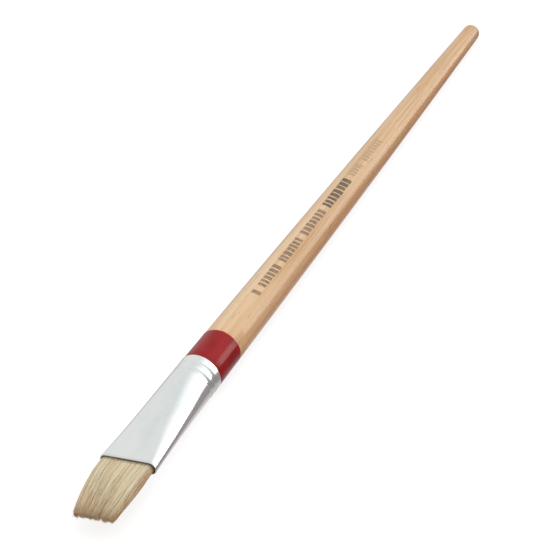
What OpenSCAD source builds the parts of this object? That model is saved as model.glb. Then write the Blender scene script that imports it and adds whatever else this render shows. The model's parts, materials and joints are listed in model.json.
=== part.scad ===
// Long-handled flat bristle brush, lying on a table with its flat side up.
// Every piece is drawn about the brush's own axis: z runs from the ferrule's mouth (0) to the
// butt of the handle, bristles are on the -z side, x is across the flat and -y is up.
// lay_down() then turns the axis to +Y and rests the brush on the table.

/* [Overall] */
// Length from the cut bristle ends to the butt of the handle
brush_len = 300; // [270:1:330]
// Length of bristle that stands out of the ferrule
bristle_out = 25; // [20:1:30]
// How far the axis dips towards the butt as the brush lies on a table, in degrees
rest_tilt = 0.9; // [0.6:0.1:1.4]

/* [Ferrule] */
// Length of the metal ferrule
ferrule_len = 47; // [45:1:54]
// Outside diameter of the ferrule's round collar
collar_d = 14.6; // [14.5:0.1:15]
// Length of the collar before the ferrule begins to flatten
collar_len = 9; // [8.5:0.1:11]
// Outside width of the flattened mouth
mouth_w = 19.6; // [18.5:0.1:20.5]
// Outside thickness of the flattened mouth
mouth_t = 4.4; // [4.2:0.1:5.2]
// Thickness of the sheet metal
wall = 0.4; // [0.3:0.05:0.45]
// Depth of each crimped groove round the collar
crimp_depth = 0.35; // [0.2:0.05:0.4]
// Distance from the collar's edge to the middle of the first groove
crimp_edge = 3.3; // [2.8:0.1:3.6]
// Distance between the middles of the two grooves
crimp_pitch = 3.1; // [2.6:0.1:3.4]

/* [Handle] */
// Diameter of the handle where it meets the ferrule
neck_d = 14.2; // [13.8:0.1:14.3]
// Diameter of the handle at its butt, before its edge is rounded
butt_d = 6.3; // [5.5:0.1:8]
// How far the taper bows outwards from a straight cone
taper_bow = 3; // [0:0.1:4]
// Radius of the rounded edge at the butt
butt_round = 2.2; // [1:0.1:2.5]
// Length of the tenon that is pushed into the ferrule
tenon_len = 24; // [20:1:26]

/* [Lacquer band] */
// Length of the coloured band on the handle's neck
band_len = 14.5; // [8:0.5:20]
// Thickness of the lacquer
lacquer_t = 0.15; // [0.1:0.05:0.25]

/* [Bristles] */
// Width of the tuft at its cut end
edge_w = 15.8; // [13:0.1:17]
// Thickness of the tuft at its cut end
edge_t = 2.2; // [1.6:0.1:3]
// Depth to which the bristles are set into the ferrule
root_depth = 18; // [14:0.5:20]
// Length of the resin that holds the bristle roots
resin_len = 5; // [3:0.5:6]
// Distance of the bending line in front of the mouth
bend_gap = 1.2; // [1:0.1:1.4]

/* [Hidden] */

// Fits between the pieces
glue_gap = 0.05;    // glue line between tenon and collar
pack_gap = 0.1;     // between the bristles and the ferrule's wall at the mouth
root_gap = 0.2;     // between the moving tuft and the fixed roots
film_sunk = 0.1;    // lacquer thickness that lies below the wood's surface
film_gap = 0.01;    // between the lacquer and the wood
eps = 0.01;

// Stations along the axis
flare_len = ferrule_len - collar_len;
butt_z = brush_len - bristle_out;
taper_len = butt_z - ferrule_len;
resin_z = root_depth;
tenon_z = max(ferrule_len - tenon_len, resin_z + resin_len + 1);
roots_z = mouth_t / 2 - wall - pack_gap - bend_gap + root_gap;

// Radii
collar_r = collar_d / 2;
inner_r = collar_r - wall;
tenon_r = inner_r - glue_gap;
tenon_tip_r = mouth_t / 2 + (collar_r - mouth_t / 2) * tenon_z / flare_len - wall - 0.1;
crimp_curve_r = 0.9;
crimp_ring_r = collar_r + crimp_curve_r - crimp_depth;
crimp_z = [for (i = [0:1]) ferrule_len - crimp_edge - i * crimp_pitch];
tuft_r = mouth_t / 2 - wall - pack_gap;
tuft_half_w = mouth_w / 2 - wall - pack_gap;

// Drawing fineness of the blended ferrule, of the turned pieces and of the handle's outline
hull_fn = 48;
turn_fn = 96;
taper_steps = 24;

// Handle radius at height z: a cone that bows outwards by taper_bow
function along(z) = (butt_z - z) / taper_len;
function handle_r(z) =
    (butt_d + (neck_d - butt_d) * along(z) + taper_bow * along(z) * (1 - along(z))) / 2;

// Lowest point of the brush under its tilted axis
rest_height = max(concat(
    [for (z = [flare_len, ferrule_len]) collar_r * cos(rest_tilt) + z * sin(rest_tilt)],
    [for (i = [0:taper_steps]) let (z = ferrule_len + i / taper_steps * (taper_len - butt_round))
        handle_r(z) * cos(rest_tilt) + z * sin(rest_tilt)]));
middle_z = (butt_z - bristle_out) / 2;

module lay_down() {
    translate([0, -middle_z * cos(rest_tilt), rest_height])
        rotate([-90 - rest_tilt, 0, 0])
            children();
}

// Round-ended flat outline, seen along the axis
module flat_outline(half_w, r) {
    hull()
        for (side = [-1, 1])
            translate([side * (half_w - r), 0])
                circle(r = r, $fn = hull_fn);
}

// The ferrule's flattened stretch, from the mouth's outline to the collar's circle, drawn in by inset
module flare(inset) {
    hull() {
        linear_extrude(eps)
            flat_outline(mouth_w / 2 - inset, mouth_t / 2 - inset);
        translate([0, 0, flare_len])
            linear_extrude(eps)
                circle(r = collar_r - inset, $fn = hull_fn);
    }
}

// Slice of the space inside the ferrule between two heights
module packed_slice(low_z, high_z) {
    intersection() {
        flare(wall + pack_gap);
        translate([-mouth_w, -mouth_w, low_z])
            cube([2 * mouth_w, 2 * mouth_w, high_z - low_z]);
    }
}

// One ring for each crimped groove, of the groove's own round section
module crimp_rings(section_r) {
    for (z = crimp_z)
        translate([0, 0, z])
            rotate_extrude($fn = turn_fn)
                translate([crimp_ring_r, 0])
                    circle(r = section_r, $fn = 32);
}

// Turned wooden handle: tenon, neck, long bowed taper and blunt butt with a rounded edge
module handle() {
    band_top = ferrule_len + band_len;
    taper_top = butt_z - butt_round;
    tenon_tip = [[0, tenon_z], [tenon_tip_r - 1, tenon_z], [tenon_tip_r, tenon_z + 1]];
    tenon_side = [[tenon_r, flare_len + eps], [tenon_r, ferrule_len]];
    under_band = [[handle_r(ferrule_len) - film_sunk - film_gap, ferrule_len],
                  [handle_r(band_top) - film_sunk - film_gap, band_top]];
    taper = [for (i = [0:taper_steps])
        let (z = band_top + i / taper_steps * (taper_top - band_top)) [handle_r(z), z]];
    rounded_edge = [for (a = [10:10:90])
        [handle_r(taper_top) - butt_round * (1 - cos(a)), taper_top + butt_round * sin(a)]];
    butt = [[0, butt_z]];
    color([0.87, 0.72, 0.54])
        lay_down()
            difference() {
                rotate_extrude($fn = turn_fn)
                    polygon(concat(tenon_tip, tenon_side, under_band, taper, rounded_edge, butt));
                crimp_rings(crimp_curve_r + wall + glue_gap);
            }
}

// Band of lacquer round the neck, a film that stands just proud of the wood
module lacquer_band() {
    foot_r = handle_r(ferrule_len) - film_sunk;
    top_r = handle_r(ferrule_len + band_len) - film_sunk;
    color([0.62, 0.13, 0.15])
        lay_down()
            translate([0, 0, ferrule_len + film_gap])
                rotate_extrude($fn = turn_fn)
                    polygon([[foot_r, 0], [foot_r + lacquer_t, 0],
                             [top_r + lacquer_t, band_len - film_gap],
                             [top_r, band_len - film_gap]]);
}

// Pressed metal ferrule: round collar with two crimped grooves, flattened to the mouth
module ferrule() {
    color([0.86, 0.87, 0.86])
        lay_down()
            difference() {
                union() {
                    difference() {
                        union() {
                            flare(0);
                            translate([0, 0, flare_len])
                                cylinder(h = collar_len, r = collar_r, $fn = turn_fn);
                        }
                        translate([0, 0, flare_len])
                            cylinder(h = collar_len + 1, r = inner_r, $fn = turn_fn);
                    }
                    intersection() {
                        crimp_rings(crimp_curve_r + wall);
                        translate([0, 0, flare_len])
                            cylinder(h = collar_len, r = collar_r - wall / 2, $fn = turn_fn);
                    }
                }
                crimp_rings(crimp_curve_r);
                translate([0, 0, -eps])
                    flare(wall);
            }
}

// Set resin behind the bristle roots
module setting_resin() {
    color([0.78, 0.62, 0.30])
        lay_down()
            packed_slice(resin_z, resin_z + resin_len);
}

// Fixed part of the bristles, packed inside the ferrule
module bristle_roots() {
    color([0.74, 0.66, 0.50])
        lay_down()
            packed_slice(roots_z, resin_z);
}

// Free part of the bristles: rounded where it bends in the mouth, thinned to the cut edge
module bristle_tuft() {
    color([0.82, 0.76, 0.62])
        lay_down()
            hull() {
                for (side = [-1, 1])
                    translate([side * (tuft_half_w - tuft_r), 0, -bend_gap])
                        sphere(r = tuft_r, $fn = 32);
                translate([0, 0, -bristle_out])
                    linear_extrude(eps)
                        flat_outline(edge_w / 2, edge_t / 2);
            }
}

handle();
lacquer_band();
ferrule();
setting_resin();
bristle_roots();
bristle_tuft();
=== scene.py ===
"""A long-handled flat bristle brush, lying flat side up on a pale table.

Every piece is drawn about the brush's own axis in millimetres: across the flat of the bristles,
up out of the flat side, and along from the ferrule's mouth (0) to the butt of the handle (275).
laid() and LAY put it where the CAD brush lies.
"""
import json
import math

import bmesh
import bpy
import numpy as np
from mathutils import Matrix, Vector, noise


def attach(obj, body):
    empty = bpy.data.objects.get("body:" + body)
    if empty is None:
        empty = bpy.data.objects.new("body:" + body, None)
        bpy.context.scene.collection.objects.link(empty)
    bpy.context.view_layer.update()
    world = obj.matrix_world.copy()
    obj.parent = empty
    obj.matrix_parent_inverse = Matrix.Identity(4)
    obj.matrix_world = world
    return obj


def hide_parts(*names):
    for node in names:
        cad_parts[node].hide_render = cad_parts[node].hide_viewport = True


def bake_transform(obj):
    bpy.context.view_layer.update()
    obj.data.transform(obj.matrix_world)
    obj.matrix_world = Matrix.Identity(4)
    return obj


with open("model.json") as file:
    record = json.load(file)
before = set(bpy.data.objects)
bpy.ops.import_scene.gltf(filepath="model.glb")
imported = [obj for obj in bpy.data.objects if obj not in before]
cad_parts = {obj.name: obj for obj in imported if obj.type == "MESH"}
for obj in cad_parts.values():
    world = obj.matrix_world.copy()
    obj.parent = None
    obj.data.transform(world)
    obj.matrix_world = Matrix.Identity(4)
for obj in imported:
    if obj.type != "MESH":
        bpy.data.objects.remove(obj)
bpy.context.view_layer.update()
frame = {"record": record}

MM = 0.001

# ------------------------------------------------------------------ where the brush lies
MOUNTS = {m["name"]: m for m in frame["record"]["mounts"]}
ALONG = Vector(MOUNTS["ferrule_collar"]["axis"]).normalized()
ACROSS = Vector((1, 0, 0))
UP = ACROSS.cross(ALONG)
BRISTLE_OUT = 25.0
MOUTH = Vector(MOUNTS["bristle_edge"]["pos_m"]) + ALONG * BRISTLE_OUT * MM
LAY = Matrix((ACROSS, -UP, ALONG)).transposed().to_4x4()
LAY.translation = MOUTH

# ------------------------------------------------------------------ sizes of the real pieces
BUTT = 275.0
BUTT_D, NECK_D, TAPER_BOW = 6.3, 14.2, 3.0
BUTT_ROUND = 2.2
FERRULE_LEN = 47.0
FLARE_LEN = 38.0
COLLAR_R = 7.3
SHEET = 0.4
MOUTH_FLAT, MOUTH_R = 7.6, 2.2
GROOVES = (43.7, 40.6)
GROOVE_CURVE_R, GROOVE_DEPTH = 0.9, 0.35
TENON_R, TENON_TOP = 6.84, 24.0
BAND_TOP, BAND_MIDDLE = 61.5, 54.0
FILM_SUNK = 0.10
PRINT_START = 83.5
PRINT_PROUD = 0.012
ROOT_DEPTH = 17.5
ROOT_CLEAR = 2.0
HAIR_SIDES = 4


def laid(across, up, along):
    """A point given about the brush's axis in millimetres, in the row frame in metres."""
    return MOUTH + (ACROSS * across + UP * up + ALONG * along) * MM


def taper_radius(along):
    """The bare handle's radius at a station."""
    share = (BUTT - along) / (BUTT - FERRULE_LEN)
    return (BUTT_D + (NECK_D - BUTT_D) * share + TAPER_BOW * share * (1 - share)) / 2


def ease(x, low, high):
    """0 below low, 1 above high, and a smooth step between them."""
    t = min(max((x - low) / (high - low), 0.0), 1.0)
    return t * t * (3 - 2 * t)


# ------------------------------------------------------------------ making and finishing meshes
def piece(name, verts, faces=(), edges=()):
    """A new mesh object in the scene."""
    mesh = bpy.data.meshes.new(name)
    mesh.from_pydata([tuple(v) for v in verts], list(edges), list(faces))
    mesh.update()
    obj = bpy.data.objects.new(name, mesh)
    bpy.context.scene.collection.objects.link(obj)
    return obj


def modifier(obj, kind, **values):
    """Adds a modifier of this kind with these settings."""
    m = obj.modifiers.new(kind.lower(), kind)
    for key, value in values.items():
        setattr(m, key, value)


def worked_in(obj):
    """Works the modifiers into the mesh."""
    bpy.context.view_layer.update()
    shape = obj.evaluated_get(bpy.context.evaluated_depsgraph_get())
    finished = bpy.data.meshes.new_from_object(shape)
    cage = obj.data
    obj.modifiers.clear()
    obj.data = finished
    bpy.data.meshes.remove(cage)


def smoothed(obj, sharp_deg=40):
    """Smooth shading, with edges that turn by more than sharp_deg kept crisp."""
    bm = bmesh.new()
    bm.from_mesh(obj.data)
    for f in bm.faces:
        f.smooth = True
    for e in bm.edges:
        e.smooth = not (e.is_manifold and e.calc_face_angle() > math.radians(sharp_deg))
    bm.to_mesh(obj.data)
    bm.free()
    return obj


def turned(name, profile, steps=96):
    """A turned shape from (radius, along) points, from the butt's side to the mouth's side."""
    verts = [(r * MM, 0, z * MM) for r, z in profile]
    obj = piece(name, verts, edges=[(i, i + 1) for i in range(len(verts) - 1)])
    modifier(obj, "SCREW", axis="Z", angle=math.tau, steps=steps, render_steps=steps,
             use_merge_vertices=True, merge_threshold=0.000004, use_smooth_shade=True)
    worked_in(obj)
    obj.data.transform(LAY)
    return smoothed(obj)


def wall_faces(loops, columns):
    """Quads between neighbouring closed loops of points."""
    faces = []
    for i in range(loops - 1):
        for j in range(columns):
            a, b = i * columns + j, i * columns + (j + 1) % columns
            faces.append((a, b, b + columns, a + columns))
    return faces


def finish_piece(obj, material, body, stands_for=()):
    """Gives a piece its material, its body and the CAD nodes that it replaces."""
    obj.data.materials.clear()
    obj.data.materials.append(material)
    if body:
        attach(obj, body)
    if stands_for:
        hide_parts(*stands_for)
    return obj


# ------------------------------------------------------------------ node helpers
class Graph:
    """A node tree with short calls for the nodes that the finishes use."""

    def __init__(self, tree):
        self.tree = tree

    def node(self, kind, **values):
        n = self.tree.nodes.new(kind)
        for key, value in values.items():
            setattr(n, key, value)
        return n

    def feed(self, source, target):
        if hasattr(source, "is_output"):
            self.tree.links.new(source, target)
        else:
            target.default_value = source

    def math(self, op, a, b):
        n = self.node("ShaderNodeMath", operation=op)
        for source, target in zip((a, b), n.inputs):
            self.feed(source, target)
        return n.outputs[0]

    def span(self, value, low, high, to_low=0.0, to_high=1.0):
        n = self.node("ShaderNodeMapRange", interpolation_type="SMOOTHSTEP")
        for source, target in zip((value, low, high, to_low, to_high), n.inputs):
            self.feed(source, target)
        return n.outputs[0]

    def stretch(self, vector, scale, shift=(0, 0, 0)):
        n = self.node("ShaderNodeMapping")
        self.feed(vector, n.inputs["Vector"])
        n.inputs["Scale"].default_value = scale
        n.inputs["Location"].default_value = shift
        return n.outputs[0]

    def noise(self, vector, detail=2.0, rough=0.5, bend=0.0):
        n = self.node("ShaderNodeTexNoise")
        self.feed(vector, n.inputs["Vector"])
        n.inputs["Scale"].default_value = 1.0
        n.inputs["Detail"].default_value = detail
        n.inputs["Roughness"].default_value = rough
        n.inputs["Distortion"].default_value = bend
        return n.outputs[0]

    def blend(self, share, a, b):
        n = self.node("ShaderNodeMix", data_type="RGBA", blend_type="MIX")
        self.feed(share, n.inputs[0])
        self.feed(a, n.inputs[6])
        self.feed(b, n.inputs[7])
        return n.outputs[2]

    def bump(self, height, depth, strength):
        n = self.node("ShaderNodeBump")
        n.inputs["Strength"].default_value = strength
        n.inputs["Distance"].default_value = depth
        self.feed(height, n.inputs["Height"])
        return n.outputs[0]

    def use(self, group):
        n = self.node("ShaderNodeGroup")
        n.node_tree = group
        return n


def rgb(r, g, b):
    return (r, g, b, 1.0)


def new_group(name, **outputs):
    """A node group without inputs, as its graph and its output node."""
    tree = bpy.data.node_groups.new(name, "ShaderNodeTree")
    for label, kind in outputs.items():
        tree.interface.new_socket(label, in_out="OUTPUT", socket_type=kind)
    g = Graph(tree)
    return g, g.node("NodeGroupOutput")


def new_finish(name, **values):
    """A material with its constants on the shader's own sockets."""
    material = bpy.data.materials.new(name)
    material.use_nodes = True
    material.node_tree.nodes.clear()
    g = Graph(material.node_tree)
    shader = g.node("ShaderNodeBsdfPrincipled")
    out = g.node("ShaderNodeOutputMaterial")
    g.feed(shader.outputs[0], out.inputs["Surface"])
    for label, value in values.items():
        shader.inputs[label.replace("_", " ")].default_value = value
    return material, g, shader


def brush_grid_group():
    """Where a point is on the brush: along it, and as across, up and along, in metres."""
    g, out = new_group("brush_grid", Along="NodeSocketFloat", Place="NodeSocketVector")
    seat = g.node("ShaderNodeTexCoord").outputs["Object"]
    away = g.node("ShaderNodeVectorMath", operation="SUBTRACT")
    g.feed(seat, away.inputs[0])
    away.inputs[1].default_value = MOUTH
    parts = []
    for direction in (ACROSS, UP, ALONG):
        dot = g.node("ShaderNodeVectorMath", operation="DOT_PRODUCT")
        g.feed(away.outputs[0], dot.inputs[0])
        dot.inputs[1].default_value = direction
        parts.append(dot.outputs["Value"])
    place = g.node("ShaderNodeCombineXYZ")
    for source, target in zip(parts, place.inputs):
        g.feed(source, target)
    g.feed(parts[2], out.inputs["Along"])
    g.feed(place.outputs[0], out.inputs["Place"])
    return g.tree


def handling_group(grid):
    """Marks of use: fine hairlines that run along the brush, and soft smears."""
    g, out = new_group("handling_marks", Hairlines="NodeSocketFloat", Smears="NodeSocketFloat")
    place = g.use(grid).outputs["Place"]
    lines = g.noise(g.stretch(place, (5200, 5200, 90)), detail=1.0)
    patches = g.noise(g.stretch(place, (160, 160, 60), (3, 1, 2)), detail=2.0)
    hairlines = g.math("MULTIPLY", g.span(lines, 0.62, 0.7), g.span(patches, 0.45, 0.65))
    smears = g.noise(g.stretch(place, (95, 95, 40), (7, 5, 1)), detail=3.0, rough=0.6)
    g.feed(hairlines, out.inputs["Hairlines"])
    g.feed(smears, out.inputs["Smears"])
    return g.tree


GRID = brush_grid_group()
HANDLING = handling_group(GRID)


# ------------------------------------------------------------------ finishes
def wood_finish():
    """Pale, close-grained wood under a thin clear varnish."""
    material, g, shader = new_finish(
        "varnished_wood",
        Coat_Weight=0.5, Coat_Roughness=0.1, Coat_IOR=1.5, Specular_IOR_Level=0.2)
    grid = g.use(GRID)
    place, along = grid.outputs["Place"], grid.outputs["Along"]
    broad = g.noise(g.stretch(place, (210, 210, 7)), detail=2.0, bend=0.4)
    fibres = g.noise(g.stretch(place, (1500, 1500, 32), (4, 2, 9)), detail=3.0, rough=0.6)
    streaks = g.noise(g.stretch(place, (620, 620, 14), (1, 8, 3)), detail=2.0, bend=0.6)
    pores = g.noise(g.stretch(place, (2900, 2900, 170), (2, 2, 5)), detail=1.0)
    body = g.blend(g.span(broad, 0.3, 0.7), rgb(0.60, 0.37, 0.185), rgb(0.74, 0.525, 0.32))
    late_wood = g.math("MULTIPLY", g.span(streaks, 0.46, 0.7), 0.55)
    body = g.blend(late_wood, body, rgb(0.49, 0.27, 0.115))
    pale_fibres = g.math("MULTIPLY", g.span(fibres, 0.35, 0.7), 0.32)
    body = g.blend(pale_fibres, body, rgb(0.77, 0.61, 0.42))
    specks = g.math("MULTIPLY", g.span(pores, 0.66, 0.74), 0.5)
    body = g.blend(specks, body, rgb(0.30, 0.16, 0.07))
    # Darker over the last 13 mm up to the butt.
    butt_darkening = g.math("MULTIPLY", g.span(along, 0.262, 0.276), 0.28)
    body = g.blend(butt_darkening, body, rgb(0.36, 0.22, 0.12))
    g.feed(body, shader.inputs["Base Color"])
    smears = g.use(HANDLING).outputs["Smears"]
    g.feed(g.span(smears, 0.3, 0.75, 0.32, 0.5), shader.inputs["Roughness"])
    relief = g.math("SUBTRACT", g.math("MULTIPLY", fibres, 0.35), g.math("MULTIPLY", specks, 0.8))
    g.feed(g.bump(relief, 0.00003, 0.6), shader.inputs["Normal"])
    return material


def lacquer_finish():
    """Deep red dipping lacquer, thin and paler where it runs out on the wood."""
    material, g, shader = new_finish(
        "red_dipping_lacquer",
        Coat_Weight=0.36, Coat_Roughness=0.05, Coat_IOR=1.5, Specular_IOR_Level=0.1)
    grid = g.use(GRID)
    place, along = grid.outputs["Place"], grid.outputs["Along"]
    depth = g.noise(g.stretch(place, (260, 260, 130)), detail=2.0)
    tint = g.blend(g.span(depth, 0.3, 0.7), rgb(0.262, 0.004, 0.006), rgb(0.325, 0.007, 0.010))
    fibres = g.noise(g.stretch(place, (1500, 1500, 40), (4, 2, 9)), detail=2.0)
    grain = g.math("MULTIPLY", g.span(fibres, 0.5, 0.75), 0.3)
    tint = g.blend(grain, tint, rgb(0.24, 0.003, 0.006))
    run_out = g.math("ADD", along, g.math("MULTIPLY", g.math("SUBTRACT", depth, 0.5), 0.0006))
    thin = g.math("MULTIPLY", g.span(run_out, 0.0609, 0.0614), 0.62)
    tint = g.blend(thin, tint, rgb(0.70, 0.16, 0.10))
    g.feed(tint, shader.inputs["Base Color"])
    smears = g.use(HANDLING).outputs["Smears"]
    g.feed(g.span(smears, 0.3, 0.7, 0.22, 0.38), shader.inputs["Roughness"])
    relief = g.math("ADD", g.math("MULTIPLY", fibres, 0.2), depth)
    g.feed(g.bump(relief, 0.00004, 0.35), shader.inputs["Normal"])
    return material


def ferrule_finish():
    """Bright plated sheet, faintly brushed along its length by the drawing die, with painted shade
    darkening its last 1.2 mm at the mouth.
    """
    material, g, shader = new_finish("bright_plated_sheet", Metallic=1.0)
    grid = g.use(GRID)
    place, along = grid.outputs["Place"], grid.outputs["Along"]
    drawn = g.noise(g.stretch(place, (3400, 3400, 22)), detail=2.0)
    rolls = g.noise(g.stretch(place, (170, 170, 55), (5, 0, 2)), detail=2.0)
    marks = g.use(HANDLING)
    hairlines, smears = marks.outputs["Hairlines"], marks.outputs["Smears"]
    tint = g.blend(g.span(rolls, 0.3, 0.7), rgb(0.86, 0.895, 0.895), rgb(0.93, 0.945, 0.94))
    tint = g.blend(g.math("MULTIPLY", hairlines, 0.35), tint, rgb(0.62, 0.62, 0.60))
    # Painted shade: the sheet's colour is darkened over its last 1.2 mm at the mouth, standing in
    # for the shadow gap between the lip and the bristles.
    lip = g.math("MULTIPLY", g.span(along, 0.0012, 0.0, 0.0, 1.0), 0.3)
    tint = g.blend(lip, tint, rgb(0.55, 0.52, 0.45))
    g.feed(tint, shader.inputs["Base Color"])
    rough = g.math("ADD", g.span(smears, 0.3, 0.75, 0.17, 0.27),
                   g.math("MULTIPLY", hairlines, 0.12))
    g.feed(rough, shader.inputs["Roughness"])
    relief = g.math("ADD", g.math("MULTIPLY", drawn, 0.12), rolls)
    g.feed(g.bump(relief, 0.00003, 0.5), shader.inputs["Normal"])
    return material


def bristle_finish():
    """Natural hog bristle: cream to tan hairs, a little darker and drier at their flagged ends,
    with painted shade on the roots where they leave the ferrule.
    """
    material, g, shader = new_finish(
        "natural_bristle", Specular_IOR_Level=0.45, Sheen_Weight=0.15, Sheen_Roughness=0.4)
    tone = g.node("ShaderNodeAttribute", attribute_name="tone").outputs["Fac"]
    reach = g.node("ShaderNodeAttribute", attribute_name="reach").outputs["Fac"]
    body = g.blend(g.span(tone, 0.05, 0.5), rgb(0.50, 0.31, 0.175), rgb(0.66, 0.56, 0.375))
    body = g.blend(g.span(tone, 0.5, 0.95), body, rgb(0.74, 0.67, 0.47))
    body = g.blend(g.math("MULTIPLY", g.span(reach, 0.55, 1.0), 0.35), body, rgb(0.60, 0.38, 0.21))
    # Painted shade: the hairs are darkened inside the mouth and for about 1.4 mm out of it,
    # standing in for the shadow under the ferrule's lip.
    body = g.blend(g.span(reach, 0.07, 0.125, 0.85, 0.0), body, rgb(0.14, 0.125, 0.085))
    g.feed(body, shader.inputs["Base Color"])
    g.feed(g.span(reach, 0.5, 1.0, 0.38, 0.6), shader.inputs["Roughness"])
    return material


def ink_finish(name, ink, worn_ink):
    """Stamping ink that has soaked in unevenly."""
    material, g, shader = new_finish(
        name, Specular_IOR_Level=0.35, Coat_Weight=0.5, Coat_Roughness=0.1)
    place = g.use(GRID).outputs["Place"]
    worn = g.noise(g.stretch(place, (2600, 2600, 900)), detail=3.0, rough=0.7)
    body = g.blend(g.span(worn, 0.42, 0.66), rgb(*ink), rgb(*worn_ink))
    g.feed(body, shader.inputs["Base Color"])
    g.feed(g.span(worn, 0.3, 0.7, 0.4, 0.6), shader.inputs["Roughness"])
    return material


def resin_finish():
    """Amber setting resin, mottled in tone and gloss."""
    material, g, shader = new_finish(
        "amber_setting_resin", Specular_IOR_Level=0.5, Coat_Weight=0.4)
    place = g.use(GRID).outputs["Place"]
    clouds = g.noise(g.stretch(place, (300, 300, 300)), detail=3.0)
    body = g.blend(g.span(clouds, 0.3, 0.7), rgb(0.36, 0.19, 0.05), rgb(0.58, 0.36, 0.12))
    g.feed(body, shader.inputs["Base Color"])
    g.feed(g.span(clouds, 0.3, 0.7, 0.15, 0.35), shader.inputs["Roughness"])
    return material


# ------------------------------------------------------------------ handle and lacquer
def make_handle(material):
    """The turned handle, from its blunt butt down the taper to the tenon inside the ferrule."""
    end_r = taper_radius(BUTT - BUTT_ROUND)
    flat_r = end_r - BUTT_ROUND
    butt = [(0, BUTT), (flat_r - 0.7, BUTT), (flat_r, BUTT - 0.02)]
    rounded = [(end_r - BUTT_ROUND * (1 - math.sin(a)), BUTT - BUTT_ROUND * (1 - math.cos(a)))
               for a in np.radians([15, 30, 45, 60, 75, 90])]
    taper = [(taper_radius(z), z) for z in np.linspace(BUTT - 4, BAND_TOP + 0.2, 34)]
    sunk = FILM_SUNK + 0.01
    neck = [(taper_radius(z) - sunk, z) for z in (BAND_TOP, BAND_MIDDLE)]
    neck.append((taper_radius(FERRULE_LEN) - sunk, FERRULE_LEN + 0.02))
    tenon = [(TENON_R, FERRULE_LEN)]
    crimped_r = TENON_R - 0.34
    for groove in GROOVES:
        tenon += [(TENON_R, groove + 1.15), (crimped_r, groove + 0.5),
                  (crimped_r, groove - 0.5), (TENON_R, groove - 1.15)]
    tenon += [(TENON_R, FLARE_LEN), (6.2, FLARE_LEN - 4),
              (4.9, TENON_TOP + 1), (3.9, TENON_TOP), (0, TENON_TOP)]
    obj = turned("turned_handle", butt + rounded + taper + neck + tenon)
    return finish_piece(obj, material, "brush", ["handle"])


def make_lacquer_band(material):
    """The dipped band: a film with a rounded edge where it runs out on the wood."""
    film = [(taper_radius(BAND_TOP) - FILM_SUNK, BAND_TOP)]
    for back, proud in ((0.0, 0.0), (0.05, 0.05), (0.18, 0.085), (0.4, 0.08), (0.9, 0.055),
                        (3.0, 0.05), (7.0, 0.05), (11.0, 0.05), (13.4, 0.05)):
        film.append((taper_radius(BAND_TOP - back) + proud, BAND_TOP - back))
    film.append((taper_radius(FERRULE_LEN) - FILM_SUNK, FERRULE_LEN + 0.05))
    film += [(taper_radius(z) - FILM_SUNK, z) for z in (BAND_MIDDLE, BAND_TOP)]
    obj = turned("lacquer_film", film)
    bm = bmesh.new()
    bm.from_mesh(obj.data)
    for v in bm.verts:
        seat = v.co - MOUTH
        share = ease(seat.dot(ALONG) / MM, BAND_TOP - 1.5, BAND_TOP - 0.1)
        if share:
            around = math.atan2(seat.dot(UP), v.co.x)
            run = 0.13 * math.sin(2 * around + 0.6) + 0.09 * math.sin(5 * around + 2.0)
            v.co += ALONG * (run - 0.2) * share * MM
    bm.to_mesh(obj.data)
    bm.free()
    return finish_piece(obj, material, "brush", ["lacquer_band"])


def make_printed_marks(inks):
    """A row of plain printed blocks along the handle, near the top: faded, plain and heavy."""
    rng = np.random.default_rng(7)
    row_angle = math.radians(70)
    blocks = {weight: ([], []) for weight in inks}
    half_height = {"faded": 1.3, "plain": 1.6, "heavy": 1.8}
    widths = {"faded": (0.9, 1.5), "plain": (1.2, 2.0), "heavy": (1.2, 2.0)}
    groups = ((1, "plain"), (6, "plain"), (7, "plain"), (7, "plain"),
              (8, "heavy"), (5, "faded"), (8, "faded"))
    group_gap = 2.2
    rings, columns = 3, 5

    def block(weight, start, end, high):
        """One block, wrapped on the taper."""
        verts, faces = blocks[weight]
        first = len(verts)
        for along in np.linspace(start, end, rings):
            r = taper_radius(along) + PRINT_PROUD
            for height in np.linspace(-high, high, columns):
                a = row_angle + height / r
                verts.append(laid(r * math.cos(a), r * math.sin(a), along))
        for i in range(rings - 1):
            for j in range(columns - 1):
                k = first + i * columns + j
                faces.append((k, k + 1, k + columns + 1, k + columns))

    at = PRINT_START
    for count, weight in groups:
        for _ in range(count):
            width = rng.uniform(*widths[weight])
            high = half_height[weight] * rng.uniform(0.85, 1.0)
            block(weight, at, at + width, high)
            at += width + rng.uniform(0.5, 0.8)
        at += group_gap
    for weight, ink in inks.items():
        obj = piece(weight + "_printed_blocks", *blocks[weight])
        modifier(obj, "SOLIDIFY", thickness=0.03 * MM, offset=-1)
        finish_piece(obj, ink, "brush")


# ------------------------------------------------------------------ ferrule
def sheet_section(along):
    """The ferrule's outside at a station: half width, half thickness and half of the flat."""
    t = min(along / FLARE_LEN, 1.0)
    half_w = (MOUTH_FLAT + MOUTH_R) * (1 - t) + COLLAR_R * t
    half_t = MOUTH_R * (1 - t) + COLLAR_R * t
    crowning = 0.4 * ease(t, 0.0, 0.5)
    return half_w, half_t, MOUTH_FLAT * (1 - t) * (1 - crowning)


def section_loop(along, grow, columns):
    """Points round the ferrule: flat with round ends at the mouth, then oval, then round."""
    half_w, half_t, flat = sheet_section(along)
    a = np.linspace(0, math.tau, 721)
    x = np.sign(np.sin(a)) * flat + (half_w + grow - flat) * np.sin(a)
    u = (half_t + grow) * np.cos(a)
    walked = np.concatenate([[0], np.cumsum(np.hypot(np.diff(x), np.diff(u)))])
    share = np.linspace(0, walked[-1], columns, endpoint=False)
    return np.interp(share, walked, x), np.interp(share, walked, u)


def groove_depth(along):
    """How far a crimped groove of round section is pressed in at a station."""
    proud = GROOVE_CURVE_R - GROOVE_DEPTH
    for groove in GROOVES:
        off = abs(along - groove)
        if math.hypot(off, proud) < GROOVE_CURVE_R:
            return math.sqrt(GROOVE_CURVE_R ** 2 - off * off) - proud
    return 0.0


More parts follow.
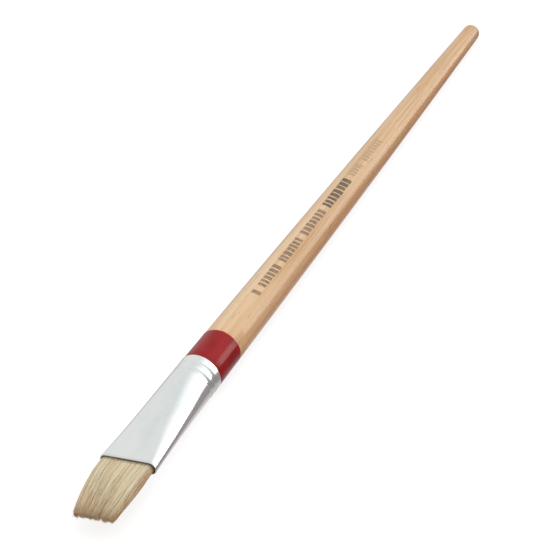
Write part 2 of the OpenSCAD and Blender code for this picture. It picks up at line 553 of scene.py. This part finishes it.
def make_ferrule(material):
    """Pressed sheet: a round collar with two rolled grooves, drawn out flat to the mouth."""
    columns = 64
    stations = [0.0, 0.15, 0.5, 1.2, 3.0, 6.0, 10.0, 14.0, 18.0, 22.0, 26.0, 29.5, 32.5, 35.0,
                36.6, 37.6, 38.4, 39.2]
    for groove in reversed(GROOVES):
        stations += [groove + off for off in (-0.95, -0.66, -0.36, 0.0, 0.36, 0.66, 0.95)]
    stations += [45.6, 46.4, 46.85, FERRULE_LEN]
    verts = []
    for along in stations:
        lip = 0.07 * (1 - ease(along, 0.0, 1.0))
        xs, us = section_loop(along, 0.02 + lip - groove_depth(along), columns)
        calm = ease(along, 0.0, 4.0) * (1 - ease(along, 35.0, 40.0))
        for x, u in zip(xs, us):
            dent = 0.05 * calm * noise.noise(Vector((x * 0.22, u * 0.3, along * 0.09)))
            scale = 1 + dent / max(math.hypot(x, u), 1)
            verts.append(laid(x * scale, u * scale, along))
    obj = piece("pressed_ferrule", verts, wall_faces(len(stations), columns))
    for p in obj.data.polygons:
        p.use_smooth = True
    modifier(obj, "SOLIDIFY", thickness=SHEET * MM, offset=-1, use_even_offset=True)
    modifier(obj, "SUBSURF", levels=1, render_levels=1)
    return finish_piece(obj, material, "brush", ["ferrule"])


def make_resin(material):
    """The plug of set resin behind the bristle roots."""
    columns = 48
    loops = ((18.0, 1.2), (18.0, 0.75), (18.3, 0.5), (20.5, 0.5), (22.7, 0.5), (23.0, 0.8),
             (22.6, 2.0))
    verts = []
    for along, inset in loops:
        verts += [laid(x, u, along) for x, u in zip(*section_loop(along, -inset, columns))]
    faces = wall_faces(len(loops), columns)
    last = (len(loops) - 1) * columns
    faces.append(tuple(reversed(range(columns))))
    faces.append(tuple(last + j for j in range(columns)))
    obj = smoothed(piece("set_resin", verts, faces))
    return finish_piece(obj, material, "brush", ["setting_resin"])


# ------------------------------------------------------------------ bristles
def tuft_section(along):
    """The packed bristles at a station: middle, half width, end radius and half thickness."""
    if along >= 0:
        half_w, half_t, flat = sheet_section(along)
        inset = SHEET + 0.45 - 0.3 * ease(along, 0.0, 3.0)
        return 0.0, half_w - inset, half_w - flat - inset, half_t - inset
    # The free tuft swells a little, leans towards its right and thins to its cut edge.
    q = -along / BRISTLE_OUT
    swell = 4 * q * (1 - q)
    left = -9.15 + 4.5 * q - 0.95 * swell * (1 - 0.35 * q)
    right = 8.75 + 0.1 * q + 0.25 * swell
    thick = 1.35 + 0.62 * ease(q, 0.0, 0.2) - 1.0 * ease(q, 0.15, 1.08)
    end = 1.5 - 0.85 * q
    return (left + right) / 2, (right - left) / 2, end, thick


def scattered_roots(count, rng):
    """Evenly jittered places over the mouth's opening, as a share across and a share up."""
    _, half, end, thick = tuft_section(0.0)
    step = math.sqrt(2 * half * 2 * thick / count)
    row_pitch = step * math.sqrt(3) / 2
    places = []
    row, u = 0, -thick
    while u <= thick:
        x = -half + (step / 2 if row % 2 else 0)
        while x <= half:
            px = x + rng.uniform(-0.45, 0.45) * step
            pu = u + rng.uniform(-0.45, 0.45) * step
            over = max(abs(px) - (half - end), 0) / end
            limit = thick * math.sqrt(max(1 - over * over, 0))
            if abs(px) < half and abs(pu) <= limit:
                places.append((px / half, pu / max(limit, 0.15)))
            x += step
        u += row_pitch
        row += 1
    return places


def make_bristles(material):
    """Some two thousand separate bristles, in locks, splayed a little and flagged at the ends."""
    rng = np.random.default_rng(23)
    stations = [ROOT_DEPTH, ROOT_CLEAR, -2.0, -6.5, -11.5, -16.0, -20.5, -BRISTLE_OUT]
    roots = scattered_roots(2350, rng)
    locks = 34
    lock_places = np.sort(rng.uniform(-1, 1, locks))
    lock_tone = rng.uniform(-0.22, 0.22, locks)
    lock_reach = rng.uniform(-0.55, 0.15, locks)
    lock_lift = rng.uniform(-0.3, 0.3, locks)
    rings = len(stations)
    points = np.zeros((len(roots), rings, 3))
    radii = np.zeros((len(roots), rings))
    tones = np.zeros(len(roots))
    for n, (e, v) in enumerate(roots):
        lock = int(np.argmin(np.abs(lock_places - e - 0.12 * math.sin(3 * v))))
        tones[n] = np.clip(0.52 + lock_tone[lock] + rng.normal(0, 0.2), 0, 1)
        gather = rng.uniform(0.15, 0.5)
        sway = rng.normal(0, 0.20, 2)
        if rng.random() < 0.035:
            sway *= 3.2
        wave = rng.uniform(0, math.tau)
        ragged = abs(rng.normal(0, 0.45))
        if rng.random() < 0.18:
            ragged += rng.uniform(0.3, 1.6)
        tip = max(ragged - lock_reach[lock] - 0.5 * ease(-e, 0.6, 0.95), 0.0) - BRISTLE_OUT
        hair_r = rng.uniform(0.105, 0.145)
        for i, along in enumerate(stations):
            reach = -along / BRISTLE_OUT
            if along < 0:
                along *= tip / -BRISTLE_OUT
            q = max(-along / BRISTLE_OUT, 0.0)
            middle, half, end, thick = tuft_section(along)
            pull = gather * ease(q, 0.25, 1.0)
            ex = e + (lock_places[lock] - e) * pull
            x = middle + ex * half
            over = max(abs(ex) * half - (half - end), 0) / end
            limit = thick * math.sqrt(max(1 - min(over, 1) ** 2, 0.0))
            u = v * max(limit, 0.12) * (1 + 0.12 * lock_lift[lock] * ease(q, 0.2, 1.0))
            if q > 0:
                drift = ease(q, 0.1, 1.0)
                x += sway[0] * drift + 0.07 * math.sin(wave + 5 * q) * drift
                u += sway[1] * 0.8 * drift + 0.06 * math.cos(wave + 4 * q) * drift
                gap = (x - 4.4 + 4.0 * (1 - q)) / 0.9
                x += 0.42 * math.copysign(math.exp(-gap * gap), gap) * ease(q, 0.55, 1.0)
            points[n, i] = x, u, along
            radii[n, i] = hair_r * (1 - 0.45 * max(reach, 0) ** 1.5)
        radii[n, -1] *= 0.45
    return strands("bristles", points, radii, tones, material)


def strands(name, points, radii, tones, material):
    """Four-sided tapered tubes along every row of points, as one mesh."""
    count, rings = radii.shape
    world = np.array(MOUTH) + MM * (points @ np.array([ACROSS, UP, ALONG]))
    run = np.gradient(world, axis=1)
    run /= np.linalg.norm(run, axis=2, keepdims=True)
    turn = np.linspace(0, 40, count) % math.tau
    side = np.cross(run, np.array(UP))
    side /= np.linalg.norm(side, axis=2, keepdims=True)
    lift = np.cross(run, side)
    corners = []
    for k in range(HAIR_SIDES):
        a = turn[:, None, None] + k * math.tau / HAIR_SIDES
        corners.append(world + MM * radii[..., None] * (np.cos(a) * side + np.sin(a) * lift))
    verts = np.stack(corners, axis=2).reshape(-1, 3)
    first = np.arange(count)[:, None] * rings * HAIR_SIDES
    quads = []
    for ring in range(0, (rings - 1) * HAIR_SIDES, HAIR_SIDES):
        for k in range(HAIR_SIDES):
            a, b = ring + k, ring + (k + 1) % HAIR_SIDES
            quads.append(first + [a, b, b + HAIR_SIDES, a + HAIR_SIDES])
    last = (rings - 1) * HAIR_SIDES
    quads.append(first + [3, 2, 1, 0])
    quads.append(first + [last, last + 1, last + 2, last + 3])
    faces = np.stack(quads, axis=1).reshape(-1, HAIR_SIDES)
    obj = piece(name, verts.tolist(), faces.tolist())
    for p in obj.data.polygons:
        p.use_smooth = True
    reach = np.clip((ROOT_CLEAR - points[..., 2]) / (ROOT_CLEAR + BRISTLE_OUT), 0, 1)
    for label, values in (("tone", np.repeat(tones, rings * HAIR_SIDES)),
                          ("reach", np.repeat(reach.reshape(-1), HAIR_SIDES))):
        layer = obj.data.attributes.new(label, "FLOAT", "POINT")
        layer.data.foreach_set("value", values.astype(np.float32))
    finish_piece(obj, material, None, ["bristle_tuft", "bristle_roots"])
    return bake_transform(obj)


# ------------------------------------------------------------------ table, light and camera
def make_table():
    """A pale table top that looks white and throws a warm light back on what lies on it."""
    half = 3.0
    corners = [(-half, -half, 0), (half, -half, 0), (half, half, 0), (-half, half, 0)]
    floor = piece("table_top", corners, [(0, 1, 2, 3)])
    material, g, shader = new_finish("pale_table", Roughness=0.9, Specular_IOR_Level=0.0)
    seen = g.node("ShaderNodeLightPath").outputs["Is Camera Ray"]
    g.feed(g.blend(seen, rgb(0.50, 0.27, 0.12), rgb(0.22, 0.22, 0.22)), shader.inputs["Base Color"])
    g.feed(g.blend(seen, rgb(0, 0, 0), rgb(0.84, 0.84, 0.838)), shader.inputs["Emission Color"])
    shader.inputs["Emission Strength"].default_value = 1.0
    floor.data.materials.append(material)
    floor.visible_glossy = False


def make_surroundings():
    """Soft light from all round, and a mirror image of the studio that only gloss shows."""
    world = bpy.data.worlds.new("studio")
    bpy.context.scene.world = world
    world.use_nodes = True
    world.node_tree.nodes.clear()
    g = Graph(world.node_tree)
    way = g.node("ShaderNodeSeparateXYZ")
    g.feed(g.node("ShaderNodeTexCoord").outputs["Generated"], way.inputs[0])
    x, y, z = way.outputs["X"], way.outputs["Y"], way.outputs["Z"]
    above = g.span(z, -0.17, -0.08)
    window = g.math("MULTIPLY", g.span(x, 0.35, 0.6, 0.0, 2.6), g.span(z, 0.2, 0.34, 1.0, 0.0))
    bright = g.math("ADD", g.span(x, -0.12, 0.5, 0.79, 1.22), window)
    calm = g.span(z, -0.1, 0.75, 0.36, 0.8)
    ahead = g.math("MULTIPLY", g.span(y, 0.1, 0.4), g.span(x, 0.7, 0.84, 1.0, 0.0))
    sky = g.math("ADD", calm, g.math("MULTIPLY", ahead, g.math("SUBTRACT", bright, calm)))
    ground = g.math("MULTIPLY", g.span(z, -0.67, -0.62, 0.55, 0.31),
                    g.span(x, -0.3, 0.2, 1.7, 1.0))
    tint = g.blend(g.span(z, -0.5, -0.1), rgb(1.0, 0.92, 0.92), rgb(1.0, 0.80, 0.84))
    tint = g.blend(above, tint, rgb(0.985, 1.0, 0.995))
    level = g.math("ADD", ground, g.math("MULTIPLY", above, g.math("SUBTRACT", sky, ground)))
    glossy = g.node("ShaderNodeBackground")
    g.feed(tint, glossy.inputs["Color"])
    g.feed(level, glossy.inputs["Strength"])
    soft = g.node("ShaderNodeBackground")
    low_right = g.math("MULTIPLY", g.span(x, 0.1, 0.7), g.span(z, 0.1, 0.6, 1.0, 0.0))
    soft_tint = g.blend(low_right, rgb(1.0, 0.99, 0.975), rgb(0.43, 0.28, 0.15))
    g.feed(soft_tint, soft.inputs["Color"])
    soft.inputs["Strength"].default_value = 0.66
    both = g.node("ShaderNodeMixShader")
    g.feed(g.node("ShaderNodeLightPath").outputs["Is Glossy Ray"], both.inputs[0])
    g.feed(soft.outputs[0], both.inputs[1])
    g.feed(glossy.outputs[0], both.inputs[2])
    g.feed(both.outputs[0], g.node("ShaderNodeOutputWorld").inputs["Surface"])
    bpy.context.scene.view_settings.view_transform = "Standard"


def make_lamp():
    """A large round softbox above the brush, to its right."""
    data = bpy.data.lights.new("overhead_softbox", "AREA")
    data.shape = "DISK"
    data.size = 1.4
    data.energy = 10.0
    lamp = bpy.data.objects.new("overhead_softbox", data)
    lamp.location = (0.5, -0.15, 1.2)
    lamp.rotation_euler = (-lamp.location).to_track_quat("-Z", "Y").to_euler()
    lamp.visible_glossy = False
    bpy.context.scene.collection.objects.link(lamp)


def make_camera():
    """A long lens, from in front of the bristles, to their right and above."""
    data = bpy.data.cameras.new("long_lens")
    data.sensor_width = 36
    data.lens = 147.73
    data.clip_start, data.clip_end = 0.01, 20
    camera = bpy.data.objects.new("long_lens", data)
    camera.location = (0.336, -0.5484, 0.4196)
    look = (Vector((-0.0065, -0.0138, 0.0)) - camera.location).normalized()
    right = look.cross(Vector((0, 0, 1))).normalized()
    top = right.cross(look)
    roll = -0.2016
    right, top = (math.cos(roll) * right + math.sin(roll) * top,
                  math.cos(roll) * top - math.sin(roll) * right)
    camera.rotation_euler = Matrix((right, top, -look)).transposed().to_euler()
    bpy.context.scene.collection.objects.link(camera)
    bpy.context.scene.camera = camera


make_camera()
make_table()
make_surroundings()
make_lamp()
make_handle(wood_finish())
make_lacquer_band(lacquer_finish())
make_printed_marks({
    "faded": ink_finish("faded_ink", (0.44, 0.30, 0.18), (0.60, 0.43, 0.26)),
    "plain": ink_finish("plain_ink", (0.23, 0.15, 0.09), (0.40, 0.26, 0.15)),
    "heavy": ink_finish("heavy_ink", (0.10, 0.07, 0.05), (0.26, 0.17, 0.10))})
make_ferrule(ferrule_finish())
make_bristles(bristle_finish())
make_resin(resin_finish())
